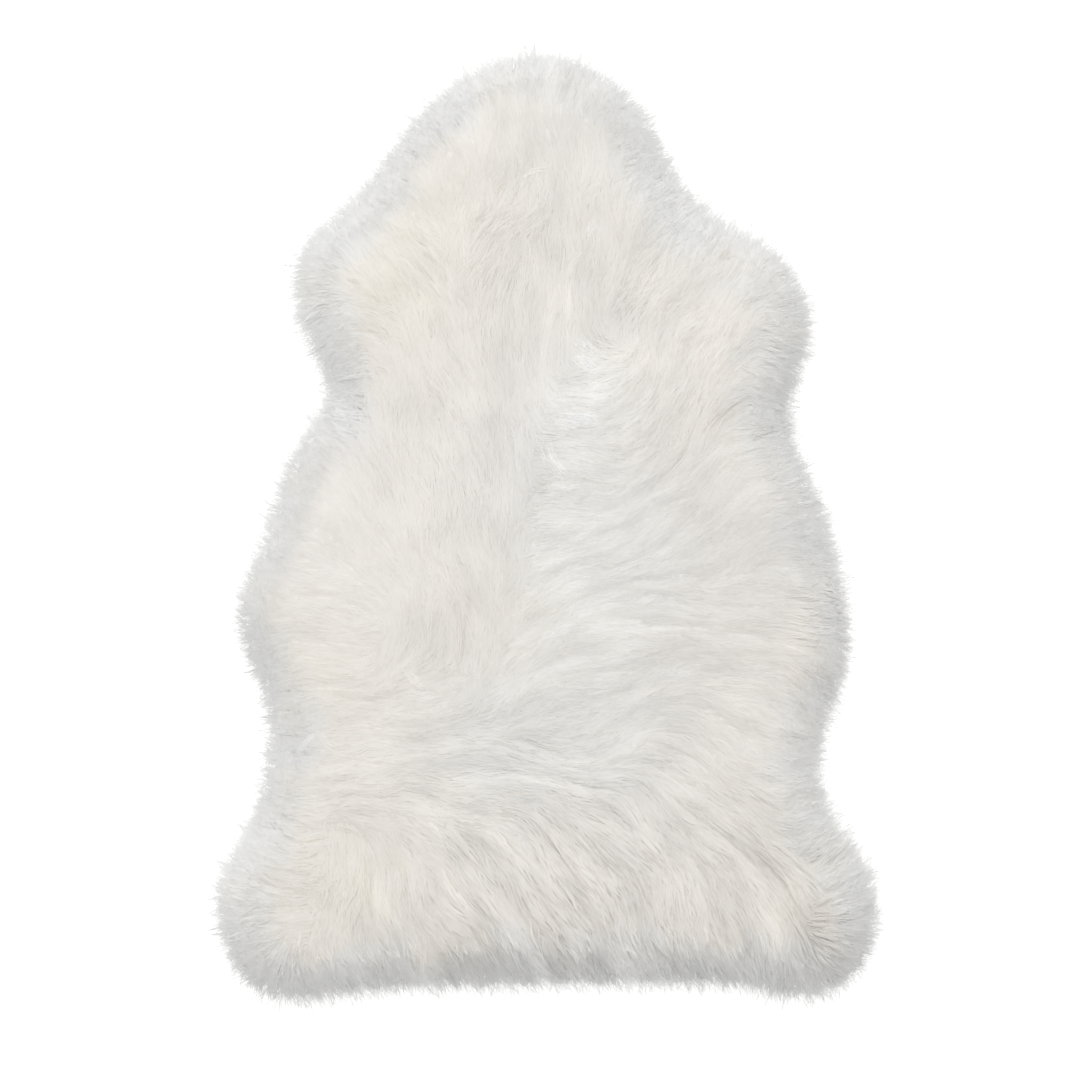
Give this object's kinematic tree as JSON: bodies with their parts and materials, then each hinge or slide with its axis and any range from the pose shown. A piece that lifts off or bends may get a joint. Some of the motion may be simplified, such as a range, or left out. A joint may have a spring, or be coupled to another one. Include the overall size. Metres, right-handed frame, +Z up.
{
  "type": "sheepskin rug",
  "caption": "Long-wool sheepskin rug lying flat, with the uneven outline of a hide and a rim of tapered wool locks.",
  "frame": {"origin": "on the floor under the rug, in the middle of its box seen from above", "axes": "+Y along the back towards the neck, +Z up out of the wool, +X to the right when the rug is seen from above with its neck up"},
  "size_m": [0.6456, 0.9216, 0.0494],
  "materials": {
    "wool": "long, soft, slightly lustrous white wool",
    "leather": "matt tanned suede underside"
  },
  "bodies": {
    "root": {"sheepskin": "wool"}
  },
  "joints": []
}
